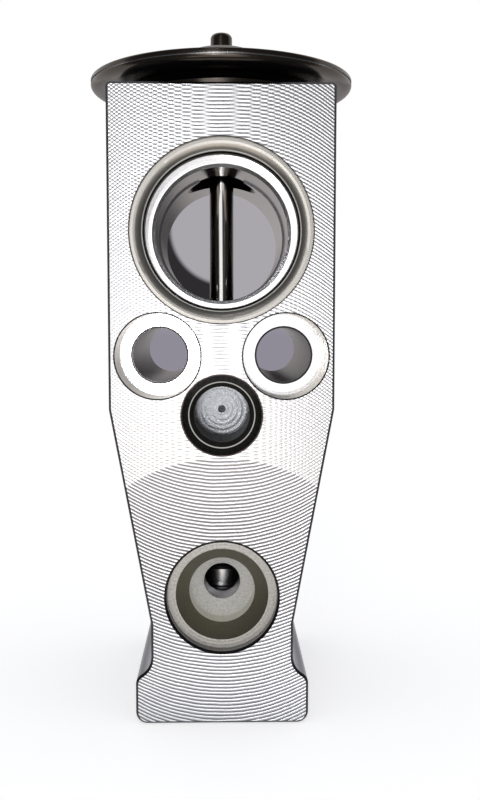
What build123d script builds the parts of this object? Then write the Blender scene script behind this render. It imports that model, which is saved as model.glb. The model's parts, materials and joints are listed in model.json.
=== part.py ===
from build123d import *
import math
import os

# Block-type thermostatic expansion valve, millimetres.
# X is across the block, Y runs from the front (hose) face at -Y to the rear (evaporator) face at +Y,
# Z is up. The origin is the centre of the flat foot. Every inner part is turned about the Z axis.

# --- block: an extruded bar, sawn to depth and milled ---
block_width = 27.0
block_depth = 33.0
block_height = 77.0
waist_width = 17.3
foot_width = 21.1
foot_side = 4.9            # straight side of the foot, up to its rounded shoulder
foot_shoulder_radius = 1.4
foot_hollow_radius = 2.6   # sweep from the foot's shoulder into the waist
foot_corner_radius = 1.4
waist_top = 12.4
taper_top = 38.6
bend_radius = 1.0          # blend at both ends of the taper
top_corner_radius = 0.5
edge_break = 0.3           # milled edge round the front and rear faces

# --- suction passage, straight through the block ---
suction_height = 59.8
suction_mouth_d = 21.8
suction_mouth_depth = 0.3
suction_lip_radius = 1.45  # rounded lead-in for the pipe's seal ring
suction_pilot_d = 18.2
suction_pilot_depth = 4.6
suction_bore_d = 16.3
suction_rear_bore_d = 15.9
suction_step_depth = 13.0  # where the front boring meets the slightly smaller rear one
suction_chamfer = 0.4

# --- liquid ports: high pressure in at the front, low pressure out at the rear ---
inlet_height = 15.7
outlet_height = 24.6
port_mouth_d = 13.5
port_mouth_chamfer = 0.3
port_mouth_depth = 1.5
port_cone_d = 11.4
port_cone_depth = 2.1
port_pilot_d = 8.2
port_pilot_length = 2.5
inlet_passage_d = 4.7
outlet_passage_d = 5.2
passage_overrun = 1.0      # how far a passage runs past the wall or axis that it breaks into

# --- fixing holes ---
bolt_pitch = 15.3
bolt_height = 45.0
bolt_hole_d = 6.7
bolt_counterbore_d = 10.2
bolt_counterbore_depth = 4.5
bolt_edge_break = 0.15
stud_height = 37.9
stud_hole_d = 6.8          # tapping size of an M8 thread
stud_countersink_d = 9.6
stud_hole_depth = 9.2
stud_dimple_d = 1.0

# --- needle and ball side, below the partition ---
chamber_d = 10.0
chamber_headroom = 0.2     # chamber ceiling above the inlet passage
orifice_d = 4.0
seat_chamfer = 0.5
ball_d = 5.0
pin_d = 2.0
carrier_d = 5.8
carrier_cup = 1.3          # how far below the ball's centre the carrier's cup ends
carrier_neck = 2.2         # length of the carrier between its cup rim and its flange
carrier_flange_d = 7.8
carrier_flange_thickness = 1.0
carrier_spigot_length = 1.7
damper_thickness = 0.25
damper_finger_width = 1.6
damper_finger_height = 1.8
damper_fingers = 3
spring_d = 7.0
spring_wire_d = 1.0
spring_wire_sides = 8      # the round wire has eight flats here
spring_turns = 3.5
spring_end_sink = 0.25     # share of the wire's thickness ground off at each end

# --- adjusting screw in the bottom of the chamber ---
screw_recess = 0.9
screw_thread_d = 11.0
screw_thread_length = 2.7
screw_travel = 0.5         # half a turn of a 1 mm pitch, either way
screw_land = 1.1           # plain land between the thread and the seal groove
screw_top_land = 0.6
screw_seal_section = 1.3
screw_spigot_length = 1.1
screw_key_width = 5.0
screw_key_depth = 2.6
spigot_d = 4.5             # spigots that centre the spring at both its ends

# --- sensing rod and its seal in the partition ---
rod_d = 3.2
rod_bottom = 42.4
rod_bore_floor = 40.4
gland_d = 5.8
gland_floor = 46.6
rod_seal_section = 1.15
retainer_thickness = 0.4
retainer_bore_d = 3.9
retainer_teeth = 6
retainer_slot = 0.5
vent_d = 9.0               # open bore round the rod between the suction passage and the head

# --- thermostatic head ---
socket_d = 21.0
socket_depth = 6.0
socket_chamfer = 0.4
neck_length = 5.6
neck_bore_d = 15.0
head_seal_groove_d = 23.4
head_seal_groove_depth = 1.3
head_seal_section = 1.1
hub_d = 25.2               # round hub of the lower housing that seats on the block
hub_height = 1.4
head_d = 34.4
flange_thickness = 0.55
housing_rim = 1.0          # lower housing's rim, under the diaphragm
rim_foot_d = 31.0          # where the rim's rounded underside begins
flange_foot_d = 26.8       # where the sweep up from the hub meets the flange
sweep_lean = 0.3           # outward lean of the sweep as it leaves the hub, to 1 upward
flange_round = 0.4
diaphragm_height = 3.0     # diaphragm plane above the block's top
diaphragm_thickness = 0.2
diaphragm_inset = 0.25
clamp_d = 28.0             # inside of the clamped rim
bead_height = 0.35
plate_d = 21.6
plate_thickness = 1.2
plate_hub_d = 5.6
plate_hub_length = 1.2
plate_socket_depth = 0.9
cover_thickness = 1.1
cover_foot_d = 29.6        # where the cover turns up from its rim
cover_crown_d = 8.2
cover_cone_d = 11.0
cover_cone_rise = 2.8
cover_crown_rise = 3.85    # crown above the cover's flange
plug_d = 2.86
plug_height = 2.5
plug_stem_d = 2.0
small_break = 0.2          # broken edges of turned parts
ring_sides = 8             # flats round the section of a seal ring

# --- fits ---
running_gap = 0.05         # radial gap of a moving piece in its bore
seal_gap = 0.03            # between a seal ring's line of contact and what it seals
seat_gap = 0.03            # between the ball and its seat when the valve is shut
stroke = 0.9
stroke_spare = 0.1

# --- worked out from the sizes above ---
front_y = -block_depth / 2
rear_y = block_depth / 2
chamber_ceiling = inlet_height + inlet_passage_d / 2 + chamber_headroom
seat_edge = chamber_ceiling + seat_chamfer
ball_radius = ball_d / 2
ball_height = seat_edge - math.sqrt(ball_radius**2 - (orifice_d / 2) ** 2) - seat_gap
cup_rim = ball_height - carrier_cup
flange_top = cup_rim - carrier_neck
flange_bottom = flange_top - carrier_flange_thickness
spring_top = flange_bottom - damper_thickness
thread_shoulder = screw_recess + screw_thread_length
groove_bottom = thread_shoulder + screw_land
groove_top = groove_bottom + screw_seal_section + 2 * running_gap
spring_bottom = groove_top + screw_top_land
screw_land_d = chamber_d - 3 * running_gap
screw_groove_d = chamber_d - 2 * screw_seal_section - 4 * seal_gap
diaphragm_bottom = block_height + diaphragm_height
diaphragm_top = diaphragm_bottom + diaphragm_thickness
plate_top = diaphragm_bottom - stroke_spare
plate_bottom = plate_top - plate_thickness
plate_stop = plate_bottom - stroke - stroke_spare
rod_top = plate_bottom - plate_hub_length + plate_socket_depth
crown_top = diaphragm_top + flange_thickness + cover_crown_rise
plug_top = crown_top + plug_height


def turned(outline):
    """Solid of revolution about Z of a closed outline drawn as (radius, height)."""
    return revolve(make_face(Plane.XZ * outline), Axis.Z)


def turned_corners(*corners):
    return turned(Polyline(*corners, close=True))


def seal_ring(inner_d, section, height):
    """Ring of round section, with a flat turned where each of its sides touches."""
    section_face = RegularPolygon(
        section / 2, ring_sides, major_radius=False, rotation=180 / ring_sides
    )
    return revolve(Plane.XZ * Pos(inner_d / 2 + section / 2, height) * section_face, Axis.Z)


def on_front(x, height):
    """Places a cutter whose +Z points out of the front face."""
    return Plane(origin=(x, front_y, height), x_dir=(1, 0, 0), z_dir=(0, -1, 0))


def on_rear(x, height):
    return Plane(origin=(x, rear_y, height), x_dir=(-1, 0, 0), z_dir=(0, 1, 0))


# ---------------------------------------------------------------- block

def block_outline():
    half_waist = waist_width / 2
    half_foot = foot_width / 2
    half_block = block_width / 2
    sweep_radius = foot_shoulder_radius + foot_hollow_radius
    turn = math.degrees(math.acos(1 - (half_foot - half_waist) / sweep_radius))

    base = Line((0, 0), (half_foot - foot_corner_radius, 0))
    corner = JernArc(base @ 1, (1, 0), foot_corner_radius, 90)
    side = Line(corner @ 1, (half_foot, foot_side))
    shoulder = JernArc(side @ 1, (0, 1), foot_shoulder_radius, turn)
    hollow = JernArc(shoulder @ 1, shoulder % 1, foot_hollow_radius, -turn)
    waist = Line(hollow @ 1, (half_waist, waist_top))
    taper = Line(waist @ 1, (half_block, taper_top))
    flank = Line(taper @ 1, (half_block, block_height - top_corner_radius))
    crown = JernArc(flank @ 1, (0, 1), top_corner_radius, 90)
    top = Line(crown @ 1, (0, block_height))
    half = base + corner + side + shoulder + hollow + waist + taper + flank + crown + top
    face = make_face(half + Line((0, block_height), (0, 0)))
    bends = [v for v in face.vertices() if math.isclose(v.Y, waist_top) or math.isclose(v.Y, taper_top)]
    face = fillet(bends, bend_radius)
    return face + mirror(face, Plane.YZ)


def block_bar():
    bar = extrude(Plane.XZ * block_outline(), amount=block_depth / 2, both=True)
    ends = bar.faces().filter_by(Axis.Y)
    return chamfer(ends.edges(), edge_break)


def suction_cutter(bore_d, length):
    """Port with a rounded lip, a pilot bore and a shoulder; +Z points out of the face."""
    pilot_radius = suction_pilot_d / 2
    bore_radius = bore_d / 2
    lip_start = pilot_radius + suction_lip_radius
    mouth = Polyline(
        (0, 1),
        (suction_mouth_d / 2, 1),
        (suction_mouth_d / 2, -suction_mouth_depth),
        (lip_start, -suction_mouth_depth),
    )
    lip = JernArc(mouth @ 1, (-1, 0), suction_lip_radius, 90)
    inside = Polyline(
        lip @ 1,
        (pilot_radius, -suction_pilot_depth),
        (bore_radius + suction_chamfer, -suction_pilot_depth),
        (bore_radius, -suction_pilot_depth - suction_chamfer),
        (bore_radius, -length),
        (0, -length),
        (0, 1),
    )
    return turned(mouth + lip + inside)


def liquid_cutter(passage_d, length):
    """Port with a mouth, a conical seal seat, a pilot bore and a narrow passage."""
    mouth_radius = port_mouth_d / 2
    pilot_radius = port_pilot_d / 2
    passage_radius = passage_d / 2
    cone_end = port_mouth_depth + port_cone_depth
    pilot_end = cone_end + port_pilot_length
    floor_end = pilot_end + pilot_radius - passage_radius
    return turned_corners(
        (0, 1),
        (mouth_radius + port_mouth_chamfer, 1),
        (mouth_radius + port_mouth_chamfer, 0),
        (mouth_radius, -port_mouth_chamfer),
        (mouth_radius, -port_mouth_depth),
        (port_cone_d / 2, -port_mouth_depth),
        (pilot_radius, -cone_end),
        (pilot_radius, -pilot_end),
        (passage_radius, -floor_end),
        (passage_radius, -length),
        (0, -length),
    )


def bolt_cutter():
    bore_radius = bolt_counterbore_d / 2
    return turned_corners(
        (0, 1),
        (bore_radius + bolt_edge_break, 1),
        (bore_radius + bolt_edge_break, 0),
        (bore_radius, -bolt_edge_break),
        (bore_radius, -bolt_counterbore_depth),
        (bolt_hole_d / 2, -bolt_counterbore_depth),
        (bolt_hole_d / 2, -block_depth - 1),
        (0, -block_depth - 1),
    )


def stud_cutter():
    """Blind tapped hole, countersunk, with the drill's centre mark in its flat floor."""
    sink_radius = stud_countersink_d / 2
    hole_radius = stud_hole_d / 2
    dimple_radius = stud_dimple_d / 2
    return turned_corners(
        (0, 1),
        (sink_radius, 1),
        (sink_radius, 0),
        (hole_radius, hole_radius - sink_radius),
        (hole_radius, -stud_hole_depth),
        (dimple_radius, -stud_hole_depth),
        (0, -stud_hole_depth - dimple_radius),
    )


def vertical_cutter():
    """Every bore on the valve's own axis, from the adjusting screw's thread up to the head's socket."""
    thread_radius = screw_thread_d / 2 + running_gap
    chamber_radius = chamber_d / 2
    thread_top = thread_shoulder + screw_travel + stroke_spare
    lead_in = small_break * 2
    return turned_corners(
        (0, -1),
        (thread_radius + lead_in, -1),
        (thread_radius + lead_in, 0),
        (thread_radius, lead_in),
        (thread_radius, thread_top),
        (chamber_radius, thread_top + thread_radius - chamber_radius),
        (chamber_radius, chamber_ceiling),
        (orifice_d / 2 + seat_chamfer, chamber_ceiling),
        (orifice_d / 2, seat_edge),
        (orifice_d / 2, outlet_height),
        (pin_d / 2 + running_gap, outlet_height),
        (pin_d / 2 + running_gap, rod_bore_floor),
        (rod_d / 2 + running_gap, rod_bore_floor),
        (rod_d / 2 + running_gap, gland_floor),
        (gland_d / 2, gland_floor),
        (gland_d / 2, suction_height),
        (vent_d / 2, suction_height),
        (vent_d / 2, block_height - socket_depth),
        (socket_d / 2, block_height - socket_depth),
        (socket_d / 2, block_height - head_seal_groove_depth),
        (head_seal_groove_d / 2, block_height - head_seal_groove_depth),
        (head_seal_groove_d / 2, block_height + 1),
        (0, block_height + 1),
    )


def make_valve_block():
    inlet_reach = block_depth / 2 - chamber_d / 2 + passage_overrun
    outlet_reach = block_depth / 2 + outlet_passage_d / 2
    block = block_bar()
    block -= on_front(0, suction_height) * suction_cutter(suction_bore_d, suction_step_depth)
    block -= on_rear(0, suction_height) * suction_cutter(
        suction_rear_bore_d, block_depth - suction_step_depth
    )
    block -= on_front(0, inlet_height) * liquid_cutter(inlet_passage_d, inlet_reach)
    block -= on_rear(0, outlet_height) * liquid_cutter(outlet_passage_d, outlet_reach)
    for side in (-1, 1):
        block -= on_front(side * bolt_pitch / 2, bolt_height) * bolt_cutter()
    block -= on_front(0, stud_height) * stud_cutter()
    block -= vertical_cutter()
    return block


# ---------------------------------------------------------------- thermostatic head

def make_head_base():
    """Lower housing: screwed neck, round hub and the flange under the diaphragm."""
    neck_radius = socket_d / 2 - running_gap
    neck_end = block_height - neck_length
    head_radius = head_d / 2
    flange_bottom_z = diaphragm_bottom - housing_rim
    recess_radius = plate_d / 2 + 2 * stroke_spare
    hub_top = block_height + hub_height
    neck = Polyline(
        (neck_bore_d / 2, neck_end),
        (neck_radius - socket_chamfer, neck_end),
        (neck_radius, neck_end + socket_chamfer),
        (neck_radius, block_height),
        (hub_d / 2, block_height),
        (hub_d / 2, hub_top),
    )
    flange_foot = (flange_foot_d / 2, flange_bottom_z)
    sweep = TangentArc(neck @ 1, flange_foot, tangent=(sweep_lean, 1))
    flange = Line(flange_foot, (rim_foot_d / 2, flange_bottom_z))
    underside = TangentArc(flange @ 1, (head_radius, diaphragm_bottom), tangent=(1, 0))
    rim = Polyline(
        underside @ 1,
        (clamp_d / 2, diaphragm_bottom),
        (recess_radius, plate_bottom),
        (recess_radius, plate_stop),
        (neck_bore_d / 2, plate_stop),
        (neck_bore_d / 2, neck_end),
    )
    return turned(neck + sweep + flange + underside + rim)


def make_head_cover():
    """Upper housing: flat rim, shallow cone and a raised crown with the charging hole."""
    head_radius = head_d / 2
    rim_top = diaphragm_top + flange_thickness
    cone_top = rim_top + cover_cone_rise
    crown_under = crown_top - cover_thickness
    stem_radius = plug_stem_d / 2
    return turned_corners(
        (clamp_d / 2, diaphragm_top),
        (head_radius, diaphragm_top),
        (head_radius, rim_top - flange_round),
        (head_radius - flange_round, rim_top),
        (cover_foot_d / 2, rim_top),
        (cover_cone_d / 2, cone_top),
        (cover_crown_d / 2, crown_top - small_break),
        (cover_crown_d / 2 - small_break, crown_top),
        (stem_radius, crown_top),
        (stem_radius, crown_under),
        (cover_crown_d / 2 - cover_thickness, crown_under),
        (cover_cone_d / 2 - cover_thickness, cone_top - cover_thickness),
        (cover_foot_d / 2 - 2 * cover_thickness, rim_top - small_break),
    )


def make_charge_plug():
    """Domed plug that closes the head after it is charged."""
    plug_radius = plug_d / 2
    stem_radius = plug_stem_d / 2
    stem_end = crown_top - cover_thickness
    body = Polyline(
        (0, stem_end),
        (stem_radius, stem_end),
        (stem_radius, crown_top),
        (plug_radius, crown_top),
        (plug_radius, plug_top - plug_radius),
    )
    dome = JernArc(body @ 1, (0, 1), plug_radius, 90)
    return turned(body + dome + Line(dome @ 1, (0, stem_end)))


def make_diaphragm():
    """Thin disc with one raised bead in its free ring."""
    edge_radius = head_d / 2 - diaphragm_inset
    bead_outer = clamp_d / 2 - small_break
    bead_inner = plate_d / 2 + small_break
    bead_middle = (bead_outer + bead_inner) / 2
    under = Polyline(
        (0, diaphragm_bottom),
        (bead_inner, diaphragm_bottom),
        (bead_middle, diaphragm_bottom + bead_height),
        (bead_outer, diaphragm_bottom),
        (edge_radius, diaphragm_bottom),
        (edge_radius, diaphragm_top),
        (bead_outer, diaphragm_top),
        (bead_middle, diaphragm_top + bead_height),
        (bead_inner, diaphragm_top),
        (0, diaphragm_top),
        close=True,
    )
    return turned(under)


def make_pressure_plate():
    hub_end = plate_bottom - plate_hub_length
    socket_radius = rod_d / 2 + running_gap
    return turned_corners(
        (0, plate_top),
        (plate_d / 2 - small_break, plate_top),
        (plate_d / 2, plate_top - small_break),
        (plate_d / 2, plate_bottom),
        (plate_hub_d / 2, plate_bottom),
        (plate_hub_d / 2, hub_end),
        (socket_radius, hub_end),
        (socket_radius, rod_top),
        (0, rod_top),
    )


def make_head_seal_ring():
    inner_d = socket_d - 2 * running_gap + 2 * seal_gap
    height = block_height - head_seal_groove_depth / 2
    return seal_ring(inner_d, head_seal_section, height)


# ---------------------------------------------------------------- rod, pin and ball

def make_sensing_rod():
    radius = rod_d / 2
    return turned_corners(
        (0, rod_bottom),
        (radius - small_break, rod_bottom),
        (radius, rod_bottom + small_break),
        (radius, rod_top - small_break),
        (radius - small_break, rod_top),
        (0, rod_top),
    )


def make_push_pin():
    pin_foot = ball_height + ball_radius
    return turned_corners(
        (0, pin_foot),
        (pin_d / 2 - small_break, pin_foot),
        (pin_d / 2, pin_foot + small_break),
        (pin_d / 2, rod_bottom),
        (0, rod_bottom),
    )


def make_rod_seal_ring():
    height = gland_floor + rod_seal_section / 2 + seal_gap
    return seal_ring(rod_d + 2 * seal_gap, rod_seal_section, height)


def make_rod_seal_retainer():
    """Push-in washer whose slotted edge grips the gland's wall."""
    bottom = gland_floor + rod_seal_section + 2 * seal_gap
    outer_radius = gland_d / 2 - seal_gap
    bore = Cylinder(retainer_bore_d / 2, retainer_thickness)
    slot = Box(retainer_slot, retainer_slot, retainer_thickness)
    washer = Cylinder(outer_radius, retainer_thickness) - bore
    for notch in PolarLocations(outer_radius, retainer_teeth):
        washer -= notch * slot
    return Pos(0, 0, bottom + retainer_thickness / 2) * washer


def make_valve_ball():
    return Pos(0, 0, ball_height) * Sphere(ball_radius)


def make_ball_carrier():
    """Cup under the ball, flange over the damper and spring, spigot inside the spring."""
    cup_radius = ball_radius + seat_gap
    rim_radius = math.sqrt(cup_radius**2 - carrier_cup**2)
    cup_floor = (0, ball_height - cup_radius)
    spigot_end = flange_bottom - carrier_spigot_length
    flange_radius = carrier_flange_d / 2
    cup = RadiusArc(cup_floor, (rim_radius, cup_rim), -cup_radius)
    outside = Polyline(
        (rim_radius, cup_rim),
        (carrier_d / 2 - small_break, cup_rim),
        (carrier_d / 2, cup_rim - small_break),
        (carrier_d / 2, flange_top),
        (flange_radius - small_break, flange_top),
        (flange_radius, flange_top - small_break),
        (flange_radius, flange_bottom),
        (spigot_d / 2, flange_bottom),
        (spigot_d / 2, spigot_end + small_break),
        (spigot_d / 2 - small_break, spigot_end),
        (0, spigot_end),
        cup_floor,
    )
    return turned(cup + outside)


def make_damper_ring():
    """Spring washer whose bent-up fingers rub on the chamber's wall and damp the ball."""
    finger_outer = chamber_d / 2 - 2 * running_gap
    washer_radius = spring_d / 2 + small_break
    arm_length = finger_outer - washer_radius + small_break
    washer = Cylinder(washer_radius, damper_thickness) - Cylinder(
        spigot_d / 2 + running_gap, damper_thickness
    )
    arm = Pos(finger_outer - arm_length / 2, 0, 0) * Box(
        arm_length, damper_finger_width, damper_thickness
    )
    finger = Pos(finger_outer - damper_thickness / 2, 0, damper_finger_height / 2) * Box(
        damper_thickness, damper_finger_width, damper_finger_height + damper_thickness
    )
    wall = Cylinder(finger_outer, 2 * (damper_finger_height + damper_thickness))
    for turn in PolarLocations(0, damper_fingers, start_angle=90):
        washer += turn * (arm + finger)
    return Pos(0, 0, flange_bottom - damper_thickness / 2) * (washer & wall)


def make_superheat_spring():
    """Wire spring with both ends ground flat."""
    height = spring_top - spring_bottom
    mean_radius = (spring_d - spring_wire_d) / 2
    end_inset = spring_wire_d * (0.5 - spring_end_sink)
    pitch = (height - 2 * end_inset) / spring_turns
    path = Helix(pitch=pitch, height=pitch * spring_turns, radius=mean_radius)
    wire = RegularPolygon(spring_wire_d / 2, spring_wire_sides)
    section = Plane(origin=path @ 0, z_dir=path % 0) * wire
    coil = Pos(0, 0, spring_bottom + end_inset) * sweep(section, path=path)
    ground = Pos(0, 0, spring_bottom + height / 2) * Cylinder(spring_d, height)
    return coil & ground


# ---------------------------------------------------------------- adjusting screw

def make_adjusting_screw():
    thread_radius = screw_thread_d / 2
    land_radius = screw_land_d / 2
    groove_radius = screw_groove_d / 2
    spigot_end = spring_bottom + screw_spigot_length
    body = turned_corners(
        (0, screw_recess),
        (thread_radius - small_break, screw_recess),
        (thread_radius, screw_recess + small_break),
        (thread_radius, thread_shoulder),
        (land_radius, thread_shoulder + thread_radius - land_radius),
        (land_radius, groove_bottom),
        (groove_radius, groove_bottom),
        (groove_radius, groove_top),
        (land_radius, groove_top),
        (land_radius, spring_bottom),
        (spigot_d / 2, spring_bottom),
        (spigot_d / 2, spigot_end - small_break),
        (spigot_d / 2 - small_break, spigot_end),
        (0, spigot_end),
    )
    key = RegularPolygon(screw_key_width / 2, 6, major_radius=False)
    return body - Pos(0, 0, screw_recess) * extrude(key, amount=screw_key_depth)


def make_adjusting_screw_seal():
    height = (groove_bottom + groove_top) / 2
    return seal_ring(screw_groove_d + 2 * seal_gap, screw_seal_section, height)


PIECES = {
    "valve_block": make_valve_block,
    "head_base": make_head_base,
    "head_cover": make_head_cover,
    "charge_plug": make_charge_plug,
    "diaphragm": make_diaphragm,
    "pressure_plate": make_pressure_plate,
    "head_seal_ring": make_head_seal_ring,
    "sensing_rod": make_sensing_rod,
    "push_pin": make_push_pin,
    "rod_seal_ring": make_rod_seal_ring,
    "rod_seal_retainer": make_rod_seal_retainer,
    "valve_ball": make_valve_ball,
    "ball_carrier": make_ball_carrier,
    "damper_ring": make_damper_ring,
    "superheat_spring": make_superheat_spring,
    "adjusting_screw": make_adjusting_screw,
    "adjusting_screw_seal": make_adjusting_screw_seal,
}


os.makedirs("parts", exist_ok=True)
for name, make_piece in PIECES.items():
    export_step(make_piece(), f"parts/{name}.step")
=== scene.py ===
"""Block-type thermostatic expansion valve: the looks of its pieces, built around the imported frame.

Sizes in this file are millimetres unless a name says otherwise. Blender's unit is the metre.
The block stands on its foot at the origin, +Z up to the head, front face at -Y.
"""

import json
import math
from typing import NamedTuple

import bmesh
import bpy
from mathutils import Matrix, Quaternion, Vector

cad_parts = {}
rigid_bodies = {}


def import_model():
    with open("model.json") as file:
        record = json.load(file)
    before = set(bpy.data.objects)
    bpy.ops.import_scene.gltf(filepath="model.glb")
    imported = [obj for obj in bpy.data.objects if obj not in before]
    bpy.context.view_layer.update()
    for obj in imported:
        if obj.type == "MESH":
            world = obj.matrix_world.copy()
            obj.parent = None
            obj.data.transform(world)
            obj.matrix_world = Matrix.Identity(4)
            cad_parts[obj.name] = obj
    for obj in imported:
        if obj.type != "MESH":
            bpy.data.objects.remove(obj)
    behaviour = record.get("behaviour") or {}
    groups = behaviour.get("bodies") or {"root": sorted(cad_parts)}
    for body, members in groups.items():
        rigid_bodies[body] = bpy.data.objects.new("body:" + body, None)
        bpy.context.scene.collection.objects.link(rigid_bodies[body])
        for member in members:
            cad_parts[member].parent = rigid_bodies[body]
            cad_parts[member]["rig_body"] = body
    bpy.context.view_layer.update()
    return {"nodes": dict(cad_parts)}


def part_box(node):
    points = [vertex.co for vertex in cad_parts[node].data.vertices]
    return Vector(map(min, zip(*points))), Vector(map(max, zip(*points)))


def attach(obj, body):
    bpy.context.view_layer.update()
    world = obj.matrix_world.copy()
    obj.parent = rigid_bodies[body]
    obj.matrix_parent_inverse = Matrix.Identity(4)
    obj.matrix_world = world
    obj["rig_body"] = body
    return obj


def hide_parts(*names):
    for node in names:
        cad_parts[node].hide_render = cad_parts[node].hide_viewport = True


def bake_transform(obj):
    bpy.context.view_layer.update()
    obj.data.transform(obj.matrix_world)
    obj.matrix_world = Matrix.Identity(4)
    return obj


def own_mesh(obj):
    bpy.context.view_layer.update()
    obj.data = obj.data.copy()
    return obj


bl_info = {
    "name": "Block expansion valve",
    "version": (1, 0, 0),
    "blender": (4, 5, 0),
    "location": "3D View > Sidebar > Valve",
    "description": "Builds the visible pieces and finishes of a block-type expansion valve",
    "category": "Object",
}

MM = 0.001
WHITE = "#FFFFFF"

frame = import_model()


def frame_width(node):
    """Size of a node of the frame from left to right."""
    low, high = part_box(node)
    return (high.x - low.x) / MM


def frame_low(node):
    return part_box(node)[0].z / MM


def frame_high(node):
    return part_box(node)[1].z / MM


# ---------------------------------------------------------------- settings

def length(name, description, default, **limits):
    return bpy.props.FloatProperty(
        name=name, description=description + ", mm", default=default, **limits)


def brightness(name, description, default):
    return bpy.props.FloatProperty(
        name=name, description="Brightness of the " + description, default=default)


def paint(name, description, default):
    return bpy.props.StringProperty(
        name=name, description=f"Colour of the {description}, sRGB hex", default=default)


class VALVE_PG_block(bpy.types.PropertyGroup):
    suction_height: length("Suction height", "Height of the suction passage's axis", 59.8)
    inlet_height: length("Inlet height", "Height of the front liquid port's axis", 15.7)
    outlet_height: length("Outlet height", "Height of the rear liquid port's axis", 24.6)
    bolt_height: length("Bolt height", "Height of the two through holes", 45.0)
    bolt_pitch: length("Bolt pitch", "Distance between the through holes", 15.3)
    stud_height: length("Stud height", "Height of the tapped hole", 37.9)
    cutter_radius: length("Cutter radius", "Radius of the arcs that the face cutter left", 21.0)
    cutter_feed: length("Cutter feed", "Distance from one arc to the next", 0.435, min=0.05)
    trailing_crest: length(
        "Trailing crest", "Height where the cutter's trailing arcs begin", 32.6)
    # painted shade: colour of a thin dark line round each mouth of the faced ends
    mouth_shade: paint("Burr", "line round each mouth", "#3A3230")
    # painted shade: the darker colour that the valleys between the cutter's ridges are painted
    groove: paint("Groove", "cutter's grooves at their bottom", "#636369")


class VALVE_PG_head(bpy.types.PropertyGroup):
    segments: bpy.props.IntProperty(
        name="Segments", description="Flats round each turned piece", default=128, min=16)
    rim_round: length("Rim round", "Radius on the cover's rim", 0.5)
    housing_rim: length("Housing rim", "Height of the lower housing's rim", 1.0)
    rim_foot: length("Rim foot", "Radius where the rim's rounded underside begins", 15.5)
    hub_height: length("Hub height", "Height of the hub above the block", 1.4)
    cover_rim: length("Cover rim", "Thickness of the cover at its rim", 0.55)


class VALVE_PG_spring(bpy.types.PropertyGroup):
    wire: length("Wire", "Diameter of the spring's wire", 1.0)
    turns: bpy.props.FloatProperty(
        name="Turns", description="Turns of the spring", default=3.5)


class VALVE_PG_finish(bpy.types.PropertyGroup):
    aluminium: paint("Aluminium", "bright block", "#CFCFD1")
    # painted shade: the bored passages are coloured darker than the faced ends
    bore: paint("Bore", "bored passages", "#9A9795")
    cone: paint("Cone", "formed cones", "#8A867A")
    counterbore: paint("Counterbore", "bolt counterbores' walls", "#E4DACB")
    # painted shade: the drawn sides are coloured a darker violet grey than the faced ends
    side: paint("Side", "drawn sides", "#7E7D85")
    # painted light: the pilots' pale cream colour stands in for warm light on their lower walls;
    # their low metal is the reamed surface's scatter
    pilot: paint("Pilot", "liquid ports' pilots", "#F3F0E2")
    # painted light: the faced seats are coloured lighter than the faced rings round them
    seat: paint("Seat", "liquid ports' faced seats", "#EFEEEB")
    # painted shade: the drilled bolt holes are coloured darker still
    bolt_bore: paint("Bolt bore", "drilled bolt holes", "#6F6B6D")
    # painted shade: the right bolt seat is coloured greyer than the left, which is cut the same way
    spot_face: paint("Spot face", "greyer of the two bolt seats", "#C0C0C2")
    dark_line: paint("Dark line", "shaded steps and mouths", "#1F1E1F")
    # painted highlight: colour of thin bright rings on the countersink and the lip, given little
    # metal so they stay bright
    painted_highlight_line: paint("Bright line", "worn crests that catch the light", "#E6E4DF")
    drilled: paint("Drilled", "blind hole's floor", "#8B8D91")
    thread: paint("Thread", "tapped wall", "#4A4946")
    lip: paint("Lip", "suction port's burnished lip", "#A4A19C")
    ring: paint("Ring", "liquid ports' faced rings", "#B2B0AD")
    # painted shade: broken edges and the step deep in the suction passage are coloured dark, the
    # chatter colour varying it at random
    edge: paint("Edge", "broken edges", "#3E3D40")
    chatter: paint("Chatter", "chatter marks on the broken edges", "#3B3A3D")
    black_nickel: paint("Black nickel", "head's plating", "#4A443F")
    rod: paint("Rod", "ground and blackened rod", "#9C9B99")
    steel: paint("Steel", "bright steel inside", "#B4B4B6")
    brass: paint("Brass", "adjusting screw", "#D8BE80")
    rubber: paint("Rubber", "seal rings", "#1B1B1C")
    bloom: paint("Bloom", "faint bloom on the seal rings", "#2B2B2D")


class VALVE_PG_stage(bpy.types.PropertyGroup):
    floor_radius: bpy.props.FloatProperty(
        name="Floor radius", description="Radius of the round floor, m", default=0.11)
    floor_lift: bpy.props.FloatProperty(
        name="Floor lift", description="Extra whiteness of the floor as the lens sees it",
        default=0.5)
    window_lean: bpy.props.FloatProperty(
        name="Window lean", description="Turn of the window about the line to the valve",
        default=math.radians(34), subtype="ANGLE")
    window_light: brightness("Window light", "soft window round the lens", 2.4)
    flash_light: brightness("Flash", "small lamp left of the lens", 46.0)
    head_light: brightness("Head light", "small lamp above the head", 7.0)
    sheet_light: brightness("Sheet", "white sheet under the lens, seen in metal only", 1.6)
    tent_dark: brightness("Tent", "dark cloth round the window, seen in metal only", 0.12)
    ambient: brightness("Ambient", "soft light from all round", 0.6)
    floor_paint: paint("Floor paint", "floor", "#F4F4F4")
    ambient_tint: paint("Ambient tint", "soft light from all round", "#F4F5F8")
    sheet_tint: paint("Sheet tint", "sheet under the lens", "#FFF3E4")
    card_grey: paint("Card", "paper and the surround straight behind the valve", "#A9A6AC")
    card_low: paint("Card low", "paper behind the bolt holes", "#8F8C98")
    card_pale: paint("Card pale", "card's left half", "#BDB9B9")
    card_dark: paint("Card dark", "card's right half and the paper's shade", "#2E2C2E")


# ---------------------------------------------------------------- shader nodes

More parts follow.
